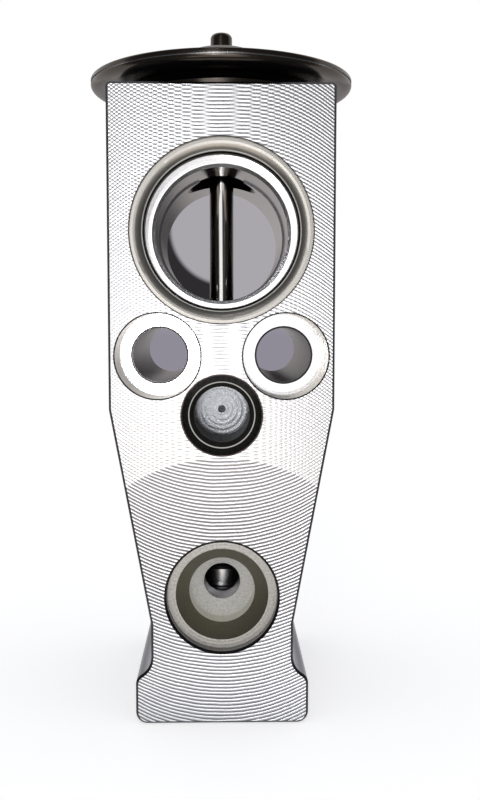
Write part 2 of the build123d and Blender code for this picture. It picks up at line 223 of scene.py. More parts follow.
def linear(code):
    """Linear RGBA of an sRGB hex colour."""
    parts = [int(code[i:i + 2], 16) / 255 for i in (1, 3, 5)]
    return [c / 12.92 if c <= 0.04045 else ((c + 0.055) / 1.055) ** 2.4 for c in parts] + [1.0]


def darker(code, share):
    """Linear RGBA of an sRGB hex colour at this share of its brightness."""
    return [share * part for part in linear(code)[:3]] + [1.0]


def put(tree, kind, feeds=None, **settings):
    """Adds a node with its settings; feeds maps its inputs to sockets, values or hex colours."""
    node = tree.nodes.new(kind)
    for name, value in settings.items():
        setattr(node, name, value)
    for key, value in (feeds or {}).items():
        if isinstance(value, bpy.types.NodeSocket):
            tree.links.new(value, node.inputs[key])
        else:
            node.inputs[key].default_value = linear(value) if isinstance(value, str) else value
    return node


def maths(tree, operation, *values, clamp=False):
    """Result of a Math node on sockets or numbers."""
    return put(tree, "ShaderNodeMath", dict(enumerate(values)),
               operation=operation, use_clamp=clamp).outputs[0]


def remap(tree, value, low, high, start=0.0, end=1.0, curve="LINEAR"):
    """Takes low..high to start..end, and holds what lies outside at the nearer end."""
    return put(tree, "ShaderNodeMapRange", {
        "Value": value, "From Min": low, "From Max": high, "To Min": start, "To Max": end,
    }, interpolation_type=curve).outputs[0]


def mix(tree, factor, first, second):
    """A colour from first, at factor 0, to second, at factor 1."""
    return put(tree, "ShaderNodeMix", {"Factor": factor, 6: first, 7: second},
               data_type="RGBA").outputs[2]


def mix_values(tree, factor, first, second):
    """A number from first, at factor 0, to second, at factor 1."""
    return put(tree, "ShaderNodeMix", {0: factor, 2: first, 3: second}).outputs[0]


def noise(tree, place, scale, detail, roughness=0.5):
    return put(tree, "ShaderNodeTexNoise", {
        "Vector": place, "Scale": scale, "Detail": detail, "Roughness": roughness}).outputs[0]


def bump(tree, height, strength, relief):
    """Normal of a surface whose height field stands for this relief in millimetres."""
    return put(tree, "ShaderNodeBump", {
        "Height": height, "Strength": strength, "Distance": relief * MM}).outputs[0]


def split(tree, vector):
    """The x, y and z of a vector."""
    return put(tree, "ShaderNodeSeparateXYZ", {0: vector}).outputs[:]


def ripple(tree, distance, pitch):
    """A wave between 0 and 1 along a distance in millimetres."""
    turn = maths(tree, "MULTIPLY", distance, 2 * math.pi / pitch)
    return maths(tree, "MULTIPLY_ADD", maths(tree, "SINE", turn), 0.5, 0.5)


def uneven(tree, pattern, middle, spread):
    """A roughness that a pattern takes by this share down and up from its middle."""
    return remap(tree, pattern, 0.0, 1.0, middle * (1 - spread), middle * (1 + spread))


def kept_length(tree, vector, keep):
    """Length of a vector once it is multiplied by keep, part by part."""
    flat = put(tree, "ShaderNodeVectorMath", {0: vector, 1: keep}, operation="MULTIPLY")
    return put(tree, "ShaderNodeVectorMath", {0: flat.outputs[0]},
               operation="LENGTH").outputs["Value"]


def axis_distance(tree, place, centre):
    """Distance from an axis along Y that goes through centre, an (x, z)."""
    x, z = centre
    moved = put(tree, "ShaderNodeVectorMath", {0: place, 1: (x, 0, z)}, operation="SUBTRACT")
    return kept_length(tree, moved.outputs[0], (1, 0, 1))


def off_circle(tree, place, centre, radius):
    """Distance from a circle about an axis along Y."""
    gap = maths(tree, "SUBTRACT", axis_distance(tree, place, centre), radius)
    return maths(tree, "ABSOLUTE", gap)


def new_material(name):
    """An empty material with its tree, and its coordinates in millimetres."""
    material = bpy.data.materials.new(name)
    material.use_nodes = True
    tree = material.node_tree
    tree.nodes.clear()
    place = put(tree, "ShaderNodeTexCoord").outputs["Object"]
    scaled = put(tree, "ShaderNodeMapping", {"Vector": place, "Scale": (1 / MM,) * 3})
    return material, tree, scaled.outputs[0]


def close_material(tree, shader):
    put(tree, "ShaderNodeOutputMaterial", {"Surface": shader.outputs[0]})


def close_metal(material, tree, tone, roughness, normal=None, metal=1.0):
    """Ends a material as metal and returns it."""
    feeds = {"Base Color": tone, "Metallic": metal, "Roughness": roughness}
    if normal is not None:
        feeds["Normal"] = normal
    close_material(tree, put(tree, "ShaderNodeBsdfPrincipled", feeds))
    return material


# ---------------------------------------------------------------- materials

# the face cutter's marks: how far vibration moves a groove, the grain against a ridge of 1,
# the trailing arcs' share where they cross the others, with its fade, and how far it holds
# back the painted shade in the valleys
GROOVE_SHIFT = 0.25
FACE_GRAIN = 0.35
CROSSED_SHARE = 0.5
CROSSED_FADE = 0.3
CROSSED_SHADE_LIFT = 1.3
# painted shade in the valleys, over more of each ridge towards the foot: it ends at this height
# of the ridge, at the foot and from VALLEY_TOP up
VALLEY_START = 0.05
VALLEY_END_LOW = 0.95
VALLEY_END_HIGH = 0.55
VALLEY_TOP = 34.0
# distance from a mouth over which its line of painted shade fades out
MOUTH_SHADE_FADE = (0.08, 0.17)
# torn grains: their height against a ring of 1 at a speckle of 1, and the noise that shows them
TORN_HEIGHT = 7
TORN_RANGE = (0.35, 0.65)
LINE_FADE = 1.6  # of a line's half width


def fly_cut_aluminium(name, block, colour, mouths):
    """Aluminium bar faced with a single-point cutter.

    Its arcs catch the light as fine bright and dark lines, from their bump and from painted shade
    in the valleys between the ridges, and where the cutter's trailing edge crossed them again
    they make small diamonds. A thin line of painted shade runs round each mouth,
    a (centre, radius).
    """
    material, tree, place = new_material(name)
    x, _, z = split(tree, place)
    chord = maths(tree, "SUBTRACT", block.cutter_radius ** 2, maths(tree, "MULTIPLY", x, x))
    rise = maths(tree, "SQRT", chord)
    leading = maths(tree, "ADD", z, rise)
    trailing = maths(tree, "SUBTRACT", z, rise)
    # the tool's vibration makes neighbouring grooves a little unequal
    wander = noise(tree, place, scale=0.35, detail=3.0)
    shift = maths(tree, "MULTIPLY_ADD", wander, GROOVE_SHIFT, leading)
    grooves = ripple(tree, shift, block.cutter_feed)
    back_grooves = ripple(tree, trailing, block.cutter_feed)
    start = block.trailing_crest - block.cutter_radius
    crossed = remap(tree, trailing, start, start + CROSSED_FADE, end=CROSSED_SHARE)
    height = mix_values(tree, crossed, grooves, back_grooves)
    grain = noise(tree, place, scale=5.0, detail=4.0)
    grained = maths(tree, "MULTIPLY_ADD", grain, FACE_GRAIN, height)
    # painted shade: the valleys between the ridges are coloured darker, over more of each ridge
    # towards the foot, and most of all where one set of arcs is alone
    spread = remap(tree, z, 0.0, VALLEY_TOP, start=VALLEY_END_LOW, end=VALLEY_END_HIGH)
    valley_shade = remap(tree, height, VALLEY_START, spread)
    unshaded = maths(tree, "MULTIPLY", crossed, CROSSED_SHADE_LIFT)
    tone = mix(tree, maths(tree, "MAXIMUM", valley_shade, unshaded), block.groove, colour)
    gaps = [off_circle(tree, place, centre, radius) for centre, radius in mouths]
    nearest = gaps[0]
    for gap in gaps[1:]:
        nearest = maths(tree, "MINIMUM", gap, nearest)
    # painted shade: a thin dark line round each mouth
    with_mouth_shade = mix(tree, remap(tree, nearest, *MOUTH_SHADE_FADE), block.mouth_shade, tone)
    normal = bump(tree, grained, strength=0.5, relief=0.06)
    return close_metal(material, tree, with_mouth_shade, 0.3, normal)


def broken_edge(colour, chatter_colour):
    """Edges broken with a file, coloured as a thin darker line round every face and hole: painted
    shade, with random chatter marks in it.
    """
    material, tree, place = new_material("broken_edge_painted_shade")
    chatter = noise(tree, place, scale=3.0, detail=3.0)
    return close_metal(material, tree, mix(tree, chatter, chatter_colour, colour), 0.3)


def extruded_aluminium(colour):
    """Drawn bar, left as it came from the die: faint straight lines along the block's depth.

    Its thin oxide skin scatters half of the light, so it stays a soft grey from every side. Its
    colour is set darker and more violet than the faced ends: painted shade.
    """
    material, tree, place = new_material("extruded_aluminium")
    drawn = put(tree, "ShaderNodeMapping", {"Vector": place, "Scale": (6.0, 0.08, 6.0)})
    streak = noise(tree, drawn.outputs[0], scale=1.0, detail=5.0)
    tone = mix(tree, streak, darker(colour, 0.72), colour)
    rough = remap(tree, streak, 0.0, 1.0, start=0.26, end=0.44)
    normal = bump(tree, streak, strength=0.35, relief=0.03)
    return close_metal(material, tree, tone, rough, normal, metal=0.5)


class Cut(NamedTuple):
    """How a round tool left a surface of the block; colours are named as in VALVE_PG_finish."""
    material: str
    colour: str
    port: str              # whose axis the rings run round
    feed: float            # from one ring to the next
    roughness: float
    strength: float        # of the rings
    speckle: float         # how much darker the torn grains are
    relief: float = 0.02   # height of the rings
    # lines are thin rings of painted shade or painted highlight
    lines: tuple = ()      # (radius, half width, colour, metal) of each ring that catches the eye
    metal: float = 1.0


SPOT_FACE_LINES = ((3.46, 0.1, "dark_line", 1.0),)
CUTS = {
    "cone": Cut("formed_cone_aluminium", "cone", "inlet",
                feed=0.25, roughness=0.42, strength=0.2, speckle=0.2),
    "pilot": Cut("reamed_aluminium", "pilot", "inlet",
                 feed=0.3, roughness=0.5, strength=0.3, speckle=0.15, metal=0.1),
    "seat": Cut("faced_seat_aluminium", "seat", "inlet",
                feed=0.3, roughness=0.42, strength=0.3, speckle=0.3, metal=0.3),
    "flat": Cut("faced_ring_aluminium", "ring", "inlet",
                feed=0.42, roughness=0.42, strength=0.3, speckle=0.45),
    "countersink": Cut("countersunk_aluminium", "thread", "stud",
                       feed=0.5, roughness=0.3, strength=0.3, speckle=0.2,
                       # a thin ring of painted highlight round the tapped hole's countersink
                       lines=((3.98, 0.05, "painted_highlight_line", 0.2),)),
    "thread": Cut("tapped_aluminium", "thread", "stud",
                  feed=1.25, roughness=0.4, strength=1.0, speckle=0.2, relief=0.25),
    "stud": Cut("drilled_aluminium", "drilled", "stud",
                feed=0.62, roughness=0.26, strength=0.5, speckle=0.3, relief=0.03),
    "bore": Cut("bored_aluminium", "bore", "suction",
                feed=0.22, roughness=0.16, strength=0.06, speckle=0.1),
    "lip": Cut("burnished_lip_aluminium", "lip", "suction",
               feed=0.25, roughness=0.36, strength=0.1, speckle=0.05,
               # a ring of painted shade and a ring of painted highlight on the lip
               lines=((9.28, 0.05, "dark_line", 1.0), (9.46, 0.04, "painted_highlight_line", 0.3))),
    "shoulder": Cut("faced_shoulder_aluminium", "aluminium", "suction",
                    feed=0.3, roughness=0.2, strength=0.05, speckle=0.05),
    "counterbore": Cut("counterbored_aluminium", "counterbore", "suction",
                       feed=0.4, roughness=0.34, strength=0.2, speckle=0.1),
    "bolt_bore": Cut("drilled_bolt_hole_aluminium", "bolt_bore", "suction",
                     feed=0.4, roughness=0.3, strength=0.2, speckle=0.2),
    "bolt_left": Cut("spot_faced_bolt_left", "aluminium", "bolt_left",
                     feed=0.42, roughness=0.17, strength=0.1, speckle=0.2,
                     lines=SPOT_FACE_LINES),
    # painted shade: the right seat takes the greyer colour
    "bolt_right": Cut("spot_faced_bolt_right", "spot_face", "bolt_right",
                      feed=0.42, roughness=0.17, strength=0.1, speckle=0.28,
                      lines=SPOT_FACE_LINES),
}


def turned_aluminium(cut, finish, centre):
    """Aluminium turned with a round tool: rings about the port's axis, at the tool's feed.

    Torn grains between the rings glint as specks.
    """
    material, tree, place = new_material(cut.material)
    radius = axis_distance(tree, place, centre)
    rings = ripple(tree, maths(tree, "ADD", radius, split(tree, place)[1]), cut.feed)
    grain = noise(tree, place, scale=4.0, detail=6.0, roughness=0.7)
    height = maths(tree, "MULTIPLY_ADD", grain, TORN_HEIGHT * cut.speckle, rings)
    base = getattr(finish, cut.colour)
    shown = mix(tree, remap(tree, grain, *TORN_RANGE), darker(base, 1 - cut.speckle), base)
    metal = cut.metal
    # thin rings of painted shade or painted highlight over the turned tone
    for line_radius, half_width, line_colour, line_metal in cut.lines:
        gap = off_circle(tree, place, centre, line_radius)
        off = remap(tree, gap, half_width, half_width * LINE_FADE)
        shown = mix(tree, off, getattr(finish, line_colour), shown)
        metal = mix_values(tree, off, line_metal, metal)
    rough = uneven(tree, grain, cut.roughness, 0.2)
    normal = bump(tree, height, cut.strength, cut.relief)
    return close_metal(material, tree, shown, rough, normal, metal)


def turned_metal(name, colour, roughness, feed, strength=0.2):
    """A small piece turned about the valve's own axis, with the lathe's fine rings."""
    material, tree, place = new_material(name)
    radius = kept_length(tree, place, (1, 1, 0))
    rings = ripple(tree, maths(tree, "ADD", radius, split(tree, place)[2]), feed)
    smudge = noise(tree, place, scale=0.5, detail=3.0)
    normal = bump(tree, rings, strength, relief=0.01)
    return close_metal(material, tree, colour, uneven(tree, smudge, roughness, 0.3), normal)


def black_nickel(colour):
    """Pressed steel with glossy black nickel plating: nearly black face on, grey at a slant."""
    material, tree, place = new_material("black_nickel_plating")
    peel = noise(tree, place, scale=0.9, detail=4.0)
    rough = remap(tree, peel, 0.0, 1.0, start=0.14, end=0.3)
    normal = bump(tree, peel, strength=0.12, relief=0.04)
    return close_metal(material, tree, colour, rough, normal)


def seal_rubber(colour, bloom_colour):
    """Moulded nitrile rubber: matt black with a faint bloom."""
    material, tree, place = new_material("seal_rubber")
    bloom = noise(tree, place, scale=2.0, detail=3.0)
    close_material(tree, put(tree, "ShaderNodeBsdfPrincipled", {
        "Base Color": mix(tree, bloom, colour, bloom_colour), "Roughness": 0.62, "IOR": 1.52}))
    return material


# ---------------------------------------------------------------- mesh helpers

def rounded(corners, steps=6):
    """Closed outline of (radius, height, fillet) corners, with each fillet as a short arc.

    A fillet takes up just under half of the shorter edge beside it at most.
    """
    outline = []
    count = len(corners)
    for i, (r, z, fillet) in enumerate(corners):
        here = Vector((r, z))
        if fillet <= 0:
            outline.append((r, z))
            continue
        back = (Vector(corners[i - 1][:2]) - here)
        ahead = (Vector(corners[(i + 1) % count][:2]) - here)
        half = back.angle(ahead) / 2
        reach = min(fillet / math.tan(half), back.length * 0.49, ahead.length * 0.49)
        radius = reach * math.tan(half)
        inward = (back.normalized() + ahead.normalized()).normalized()
        centre = here + inward * (radius / math.sin(half))
        first = here + back.normalized() * reach - centre
        sweep = first.angle_signed(here + ahead.normalized() * reach - centre)
        for k in range(steps + 1):
            turn = -sweep * k / steps
            outline.append((
                centre.x + first.x * math.cos(turn) - first.y * math.sin(turn),
                centre.y + first.x * math.sin(turn) + first.y * math.cos(turn),
            ))
    return outline


def rolled(r, z, end_r, end_z, steps=14):
    """Corners of a quarter oval that leaves (r, z) level and stands upright at (end_r, end_z)."""
    turns = [math.pi / 2 * k / steps for k in range(1, steps)]
    return [(r + (end_r - r) * math.sin(turn), end_z - (end_z - z) * math.cos(turn), 0)
            for turn in turns]


def turned(name, outline, segments):
    """Mesh of a closed (radius, height) outline in millimetres, turned about Z."""
    mesh = bmesh.new()
    rings = []
    for r, z in outline:
        if r < 1e-6:
            rings.append([mesh.verts.new((0, 0, z * MM))])
        else:
            rings.append([
                mesh.verts.new((r * MM * math.cos(a), r * MM * math.sin(a), z * MM))
                for a in (2 * math.pi * k / segments for k in range(segments))
            ])
    for ring, following in zip(rings, rings[1:] + rings[:1]):
        if len(ring) == 1 and len(following) == 1:
            continue
        for k in range(segments):
            n = (k + 1) % segments
            corners = [ring[k % len(ring)], ring[n % len(ring)],
                       following[n % len(following)], following[k % len(following)]]
            mesh.faces.new(list(dict.fromkeys(corners)))
    bmesh.ops.recalc_face_normals(mesh, faces=mesh.faces)
    data = bpy.data.meshes.new(name)
    mesh.to_mesh(data)
    mesh.free()
    return show(name, data)


def show(name, data, crease=32):
    """Links a mesh as an object, smooth but for its real edges."""
    for face in data.polygons:
        face.use_smooth = True
    data.set_sharp_from_angle(angle=math.radians(crease))
    made = bpy.data.objects.new(name, data)
    bpy.context.scene.collection.objects.link(made)
    return made


def settle(piece, node, materials):
    """Gives a piece its finish and its node's body, and hides the node that it stands for."""
    piece.data.materials.clear()
    for material in materials:
        piece.data.materials.append(material)
    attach(piece, frame["nodes"][node]["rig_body"])
    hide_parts(node)


def finish_node(node, material):
    """A node whose shape is right keeps it, and takes a better finish."""
    for slot in frame["nodes"][node].material_slots:
        slot.material = material


# ---------------------------------------------------------------- the block

# how far from its axis each port's machining reaches
PORT_REACH = {
    "suction": 11.0, "inlet": 7.2, "outlet": 7.2, "stud": 4.9, "bolt_left": 5.4, "bolt_right": 5.4}
# radius of each mouth's line of painted shade
MOUTHS = {
    "front": {"suction": 10.9, "inlet": 6.8, "stud": 4.85, "bolt_left": 5.12, "bolt_right": 5.12},
    "rear": {"suction": 10.9, "outlet": 6.8, "bolt_left": 3.4, "bolt_right": 3.4},
}
# how deep below the nearer face each finish reaches
FACE_DEPTH = 0.01
EDGE_DEPTH = 0.31
LIP_DEPTH = 1.8
SHOULDER_DEPTH = 6
RING_DEPTH = 1.55
CONE_DEPTH = 3.55
PILOT_DEPTH = 8
THREAD_DEPTH = 4
COUNTERBORE_DEPTH = 4.5
# how squarely a face looks out of the block, from 0 to 1
SQUARE = 0.9
STEPPED = 0.6
SLANTED = 0.5
CONICAL = 0.3
# the block's outer skin lies beyond these
SKIN_X = 7
SKIN_Z = 70


def port_axes(block):
    """Where each port's axis crosses the faces, as (x, z)."""
    half = block.bolt_pitch / 2
    return {
        "suction": (0, block.suction_height), "inlet": (0, block.inlet_height),
        "outlet": (0, block.outlet_height), "stud": (0, block.stud_height),
        "bolt_left": (-half, block.bolt_height), "bolt_right": (half, block.bolt_height),
    }


class VALVE_OT_block(bpy.types.Operator):
    """Dress the milled block: faced ends, drawn sides and turned ports"""
    bl_idname = "valve.block"
    bl_label = "Block"

    def execute(self, context):
        size = context.scene.valve_block
        finish = context.scene.valve_finish
        ports = port_axes(size)
        finishes = {}
        for end, radii in MOUTHS.items():
            mouths = [(ports[name], radius) for name, radius in radii.items()]
            finishes[end] = fly_cut_aluminium(
                "fly_cut_aluminium_" + end, size, finish.aluminium, mouths)
        finishes["side"] = extruded_aluminium(finish.side)
        finishes["edge"] = broken_edge(finish.edge, finish.chatter)
        for name, cut in CUTS.items():
            finishes[name] = turned_aluminium(cut, finish, ports[cut.port])
        order = list(finishes)
        data = frame["nodes"]["valve_block"].data.copy()
        data.name = "valve_block_milled"
        block = bpy.data.objects.new("valve_block_milled", data)
        context.scene.collection.objects.link(block)
        settle(block, "valve_block", list(finishes.values()))
        low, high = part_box("valve_block")
        front, rear = low.y / MM, high.y / MM
        for face in data.polygons:
            face.material_index = order.index(self.finish_of(face, front, rear, ports))
        return {"FINISHED"}

    @classmethod
    def finish_of(cls, face, front, rear, ports):
        """Which finish a face of the block takes, from where it lies and which way it looks."""
        x, y, z = face.center / MM
        depth = min(y - front, rear - y)
        facing = abs(face.normal.y)
        in_front = y < 0
        if depth < FACE_DEPTH:
            return "front" if in_front else "rear"
        absent = ("outlet",) if in_front else ("inlet", "stud")
        reaches = {name: math.hypot(x - cx, z - cz) / PORT_REACH[name]
                   for name, (cx, cz) in ports.items() if name not in absent}
        name = min(reaches, key=reaches.get)
        if reaches[name] > 1:
            if depth < EDGE_DEPTH and facing > SLANTED:
                return "edge"
            return "side" if abs(x) > SKIN_X or z > SKIN_Z else "bore"
        if depth < EDGE_DEPTH and facing < SQUARE:
            return "edge"
        if name == "suction":
            return cls.suction_finish(depth, facing)
        if name in ("inlet", "outlet"):
            return cls.liquid_finish(depth, facing)
        if name == "stud":
            return cls.stud_finish(depth, facing)
        if facing > SQUARE:
            return name
        return "counterbore" if in_front and depth < COUNTERBORE_DEPTH else "bolt_bore"

    @staticmethod
    def suction_finish(depth, facing):
        if depth < LIP_DEPTH:
            return "lip"
        if facing > STEPPED:
            # the step deep in the passage takes the dark edge colour: painted shade
            return "shoulder" if depth < SHOULDER_DEPTH else "edge"
        return "bore"

    @staticmethod
    def liquid_finish(depth, facing):
        if depth < RING_DEPTH:
            return "flat"
        if depth < CONE_DEPTH:
            return "cone"
        if depth < PILOT_DEPTH:
            return "seat" if facing > CONICAL else "pilot"
        return "bolt_bore"

    @staticmethod
    def stud_finish(depth, facing):
        if facing > STEPPED and depth > THREAD_DEPTH:
            return "stud"
        return "countersink" if facing > CONICAL else "thread"


# ---------------------------------------------------------------- the head

# radii of the lower housing
NECK_BORE = 7.5
NECK_TIP = 10.05
NECK = 10.45
HUB = 12.6
HUB_LIP = 12.75
WEB = 13.4
CHAMBER_MOUTH = 14.0
CHAMBER_WALL = 11.0
# heights of the lower housing
NECK_CHAMFER = 0.4
HUB_LIP_RISE = 0.05
CHAMBER_SLOPE = 1.3
CHAMBER_DEPTH = 2.3
# radii of the cover
COVER_SLOPE_END = 14.8
CROWN_FOOT = 5.5
CROWN = 4.1
CROWN_INSIDE = 3.0
CROWN_INSIDE_FOOT = 4.4
DIAPHRAGM_ROOM = 12.6
# heights of the cover, measured down from its crown
CROWN_RISE = 1.05
COVER_SHEET = 1.1
INSIDE_DROP = 2.15
# height of the diaphragm's room, measured up from the cover's rim
ROOM_HEIGHT = 0.35
# the charging hole and its plug
CHARGE_HOLE = 1.0
PLUG = 1.43
PLUG_DOME = 1.4


class VALVE_OT_head(bpy.types.Operator):
    """Build the thermostatic head: lower housing, pressed cover and charging plug"""
    bl_idname = "valve.head"
    bl_label = "Head"

    def execute(self, context):
        size = context.scene.valve_head
        plating = black_nickel(context.scene.valve_finish.black_nickel)
        rim = frame_width("head_base") / 2
        for name, node, outline, segments in (
            ("head_base_turned", "head_base", rounded(self.housing(size, rim)), size.segments),
            ("head_cover_pressed", "head_cover", rounded(self.cover(size, rim)), size.segments),
            ("charge_plug_domed", "charge_plug", rounded(self.plug(), steps=10),
             size.segments // 2),
        ):
            settle(turned(name, outline, segments), node, [plating])
        return {"FINISHED"}

    @staticmethod
    def housing(size, rim):
        """Corners of the lower housing, from its neck out to the rim and back over its chamber."""
        neck_end, split_line = frame_low("head_base"), frame_high("head_base")
        block_top = frame_high("valve_block")
        hub_top = block_top + size.hub_height
        under = split_line - size.housing_rim
        return [
            (NECK_BORE, neck_end, 0.2), (NECK_TIP, neck_end, 0.2),
            (NECK, neck_end + NECK_CHAMFER, 0.1), (NECK, block_top, 0),
            (HUB, block_top, 0.1), (HUB, hub_top, 0.15),
            (HUB_LIP, hub_top + HUB_LIP_RISE, 0.1), (WEB, under, 0.4),
            (size.rim_foot, under, 0), *rolled(size.rim_foot, under, rim, split_line),
            (rim, split_line, 0), (CHAMBER_MOUTH, split_line, 0.1),
            (CHAMBER_WALL, split_line - CHAMBER_SLOPE, 0.1),
            (CHAMBER_WALL, split_line - CHAMBER_DEPTH, 0.1),
            (NECK_BORE, split_line - CHAMBER_DEPTH, 0.1),
        ]

    @staticmethod
    def cover(size, rim):
        """Corners of the cover, from its rim over the crown to the charging hole and back."""
        low, crown = frame_low("head_cover"), frame_high("head_cover")
        rim_top = low + size.cover_rim
        return [
            (CHAMBER_MOUTH, low, 0), (rim, low, 0), (rim, rim_top, size.rim_round),
            (COVER_SLOPE_END, rim_top, 0.9), (CROWN_FOOT, crown - CROWN_RISE, 0.5),
            (CROWN, crown, 0.4), (CHARGE_HOLE, crown, 0),
            (CHARGE_HOLE, crown - COVER_SHEET, 0), (CROWN_INSIDE, crown - COVER_SHEET, 0.2),
            (CROWN_INSIDE_FOOT, crown - INSIDE_DROP, 0.2), (DIAPHRAGM_ROOM, low + ROOM_HEIGHT, 0.3),
        ]

    @staticmethod
    def plug():
        """Corners of the plug, from its stem's end up to the middle of its dome."""
        crown, top = frame_high("head_cover"), frame_high("charge_plug")
        return [
            (0, crown - COVER_SHEET, 0), (CHARGE_HOLE, crown - COVER_SHEET, 0),
            (CHARGE_HOLE, crown, 0), (PLUG, crown, 0), (PLUG, top, PLUG_DOME), (0, top, 0),
        ]


# ---------------------------------------------------------------- what moves inside

class VALVE_OT_train(bpy.types.Operator):
    """Finish what moves inside: rod, pin, ball, carrier and plate"""
    bl_idname = "valve.train"
    bl_label = "Rod and ball"

    def execute(self, context):
        finish = context.scene.valve_finish
        ground = turned_metal(
            "ground_blackened_steel", finish.rod, roughness=0.1, feed=0.2, strength=0.05)
        bright = turned_metal("turned_stainless_steel", finish.steel, roughness=0.24, feed=0.12)
        polished = turned_metal(
            "polished_ball_steel", finish.steel, roughness=0.06, feed=0.2, strength=0.02)
        sprung = turned_metal("rolled_spring_steel", finish.steel, roughness=0.3, feed=0.1)
        brass = turned_metal("turned_brass", finish.brass, roughness=0.28, feed=0.15)
        for material, nodes in (
            (ground, ("sensing_rod", "push_pin")),
            (polished, ("valve_ball",)),
            (bright, ("ball_carrier", "pressure_plate", "diaphragm", "rod_seal_retainer")),
            (sprung, ("damper_ring",)),
            (brass, ("adjusting_screw",)),
        ):
            for node in nodes:
                finish_node(node, material)
        return {"FINISHED"}


class VALVE_OT_seals(bpy.types.Operator):
    """Finish the rubber seal rings"""
    bl_idname = "valve.seals"
    bl_label = "Seal rings"

    def execute(self, context):
        finish = context.scene.valve_finish
        rubber = seal_rubber(finish.rubber, finish.bloom)
        for node in ("head_seal_ring", "rod_seal_ring", "adjusting_screw_seal"):
            finish_node(node, rubber)
        return {"FINISHED"}


SPRING_STEPS_PER_TURN = 48
WIRE_SIDES = 16
WIRE_CREASE = 60  # degrees


class VALVE_OT_spring(bpy.types.Operator):
    """Wind the superheat spring in two parts: the upper turns are attached to the valve body, the
    lower ones are left unattached
    """
    bl_idname = "valve.spring"
    bl_label = "Superheat spring"

    def execute(self, context):
        size = context.scene.valve_spring
        low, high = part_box("superheat_spring")
        wire = size.wire * MM
        foot, top = low.z + wire / 2, high.z - wire / 2
        lower_turns = round(size.turns / 2)
        middle = foot + (top - foot) * lower_turns / size.turns
        values = {
            "Wire radius": wire / 2,
            "Coil radius": (high.x - low.x - wire) / 2,
            "Material": turned_metal(
                "drawn_spring_wire", context.scene.valve_finish.steel, roughness=0.32, feed=0.4),
        }
        tree = self.coil_tree()
        lower = self.wind(
            context, tree, "superheat_spring_lower", foot, middle, lower_turns, values)
        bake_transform(lower)
        upper = self.wind(
            context, tree, "superheat_spring_upper", middle, top, size.turns - lower_turns, values)
        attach(upper, "valve_body")
        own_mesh(upper)
        return {"FINISHED"}

    @staticmethod
    def wind(context, tree, name, start, end, turns, values):
        """Part of the spring; its wire's middle climbs from start to end, in metres."""
        carrier = bpy.data.objects.new("spring_carrier", bpy.data.meshes.new("spring_carrier"))
        context.scene.collection.objects.link(carrier)
        coil = carrier.modifiers.new("coil", "NODES")
        coil.node_group = tree
        given = {"Turns": float(turns), "Height": end - start, **values}
        for item in tree.interface.items_tree:
            if item.item_type == "SOCKET" and item.in_out == "INPUT":
                coil[item.identifier] = given[item.name]
        context.view_layer.update()
        evaluated = carrier.evaluated_get(context.evaluated_depsgraph_get())
        data = bpy.data.meshes.new_from_object(evaluated)
        bpy.data.objects.remove(carrier)
        data.name = name
        data.transform(Matrix.Translation((0, 0, start)))
        data.materials.clear()
        data.materials.append(values["Material"])
        made = show(name, data, WIRE_CREASE)
        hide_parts("superheat_spring")
        return made

    @staticmethod
    def coil_tree():
        """Round wire along a spiral: radii, turns, height and material are the tree's inputs."""
        tree = bpy.data.node_groups.new("wound_spring", "GeometryNodeTree")
        for name in ("Wire radius", "Coil radius", "Turns", "Height"):
            tree.interface.new_socket(name, in_out="INPUT", socket_type="NodeSocketFloat")
        tree.interface.new_socket("Material", in_out="INPUT", socket_type="NodeSocketMaterial")
        tree.interface.new_socket("Geometry", in_out="OUTPUT", socket_type="NodeSocketGeometry")
        given = put(tree, "NodeGroupInput").outputs
        path = put(tree, "GeometryNodeCurveSpiral", {
            "Resolution": SPRING_STEPS_PER_TURN, "Rotations": given["Turns"],
            "Start Radius": given["Coil radius"], "End Radius": given["Coil radius"],
            "Height": given["Height"]})
        section = put(tree, "GeometryNodeCurvePrimitiveCircle", {
            "Resolution": WIRE_SIDES, "Radius": given["Wire radius"]})
        wire = put(tree, "GeometryNodeCurveToMesh", {
            "Curve": path.outputs[0], "Profile Curve": section.outputs[0], "Fill Caps": True})
        real = put(tree, "GeometryNodeRealizeInstances", {0: wire.outputs[0]})
        dressed = put(tree, "GeometryNodeSetMaterial", {
            "Geometry": real.outputs[0], "Material": given["Material"]})
        put(tree, "NodeGroupOutput", {0: dressed.outputs[0]})
        return tree


# ---------------------------------------------------------------- the stage, in metres

# each lamp's place, its width and height, and the settings for its brightness and its lean
LAMPS = {
    "window": ((-0.018, -0.45, 0.03), (0.2, 0.4), "window_light", "window_lean"),
    "flash": ((-0.045, -0.45, 0.025), (0.03, 0.03), "flash_light", None),
    "head_lamp": ((-0.03, -0.26, 0.30), (0.05, 0.03), "head_light", None),
}
LAMP_AIM = (0, 0, 0.045)
FLOOR_FRONT = 0.035
CAMERA_PLACE = (0.000066, -0.13159, 0.0489)
CAMERA_TILT = 85.47  # degrees from straight down
CAMERA_TURN = -1.05  # degrees
FOCAL_LENGTH = 43.5  # mm
SENSOR = 36          # mm
# the grey patch straight behind the valve: the way to its middle, and where it fades, in degrees
PATCH_WAY = (0, 1, 0.035)
PATCH_FADE = (7.0, 5.2)
# the paper behind the rear mouths: gap, radii, the heights where it turns darker, and its
# shade, which lies inside the first (x, z, full, none) circle and outside the second, in mm
PAPER_GAP = 0.05
PAPER = {"suction": 10.6, "bolt_left": 3.35, "bolt_right": 3.35}
PAPER_LEVELS = (47.0, 53.0)
PAPER_SHADE = ((-6.4, 57.0, 6.5, 8.8), (0.6, 63.2, 7.9, 8.8))
TENT_RADIUS = 0.9
TENT_OPENING = 0.05
CARD_RADIUS = 0.28
CARD_PLACE = (0, 0.4, 0.07)
